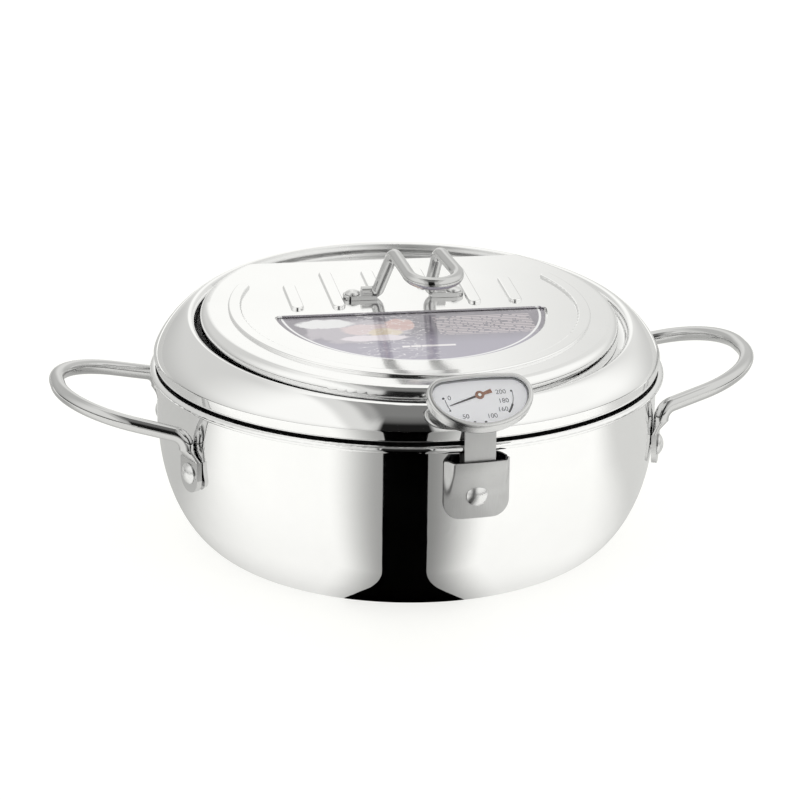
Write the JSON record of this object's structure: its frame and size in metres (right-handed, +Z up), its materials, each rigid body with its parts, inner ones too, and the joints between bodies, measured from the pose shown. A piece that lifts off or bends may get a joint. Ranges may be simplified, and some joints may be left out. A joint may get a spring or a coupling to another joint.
{
  "type": "lidded deep frying pot",
  "caption": "Stovetop deep frying pot: round steel pot with side loop handles, lift-off splash collar, ribbed drain lid with wire handle, and a clip-in dial thermometer.",
  "frame": {"origin": "centre of the pot's flat base, at the surface it stands on", "axes": "+X towards the right handle, -Y towards the thermometer at the front, +Z up along the pot's axis"},
  "size_m": [0.3466, 0.263, 0.1509],
  "materials": {
    "mirror_steel": "mirror-polished stainless steel sheet",
    "lid_steel": "polished stainless steel sheet with pressed ribs",
    "handle_steel": "polished stainless steel tube and wire",
    "rivet_steel": "polished stainless steel",
    "satin_steel": "fine brushed stainless steel",
    "case_steel": "satin-polished stainless steel",
    "clear_glass": "clear flat glass",
    "seal_rubber": "translucent grey silicone",
    "dial_face": "pale grey printed dial",
    "bush_brass": "plain turned brass",
    "pointer_bronze": "dark needle with a bronze hub",
    "coil_bimetal": "rolled bimetal strip",
    "printed_plate": null
  },
  "bodies": {
    "pot": {"pot_body": "mirror_steel", "left_handle": "handle_steel", "right_handle": "handle_steel", "left_handle_rivets": "rivet_steel", "right_handle_rivets": "rivet_steel", "thermometer_bracket": "satin_steel", "bracket_rivet": "rivet_steel"},
    "collar": {"splash_collar": "mirror_steel"},
    "lid": {"lid_plate": "lid_steel", "lid_handle": "handle_steel", "lid_handle_rivets": "rivet_steel", "instruction_plate": "printed_plate"},
    "thermometer": {"thermometer_case": "case_steel", "thermometer_bezel": "case_steel", "thermometer_lens": "clear_glass", "lens_gasket": "seal_rubber", "dial_plate": "dial_face", "shaft_bush": "bush_brass", "bimetal_coil": "coil_bimetal", "thermometer_leg": "satin_steel", "leg_rivets": "rivet_steel"},
    "pointer": {"dial_pointer": "pointer_bronze", "pointer_shaft": "rivet_steel"}
  },
  "joints": [
    {"name": "collar_lift", "type": "slide", "parent": "pot", "child": "collar", "axis": [0, 0, 1], "range_m": [0, 0.08]},
    {"name": "lid_lift", "type": "slide", "parent": "collar", "child": "lid", "axis": [0, 0, 1], "range_m": [0, 0.06]},
    {"name": "thermometer_lift", "type": "slide", "parent": "collar", "child": "thermometer", "axis": [0, 0, 1], "range_m": [0, 0.05]},
    {"name": "needle_turn", "type": "hinge", "parent": "thermometer", "child": "pointer", "pos_m": [0, -0.12507, 0.11569], "axis": [0, -0.6428, 0.766], "range_deg": [-13, 168], "stiffness_Nm_per_rad": 0.0002}
  ]
}
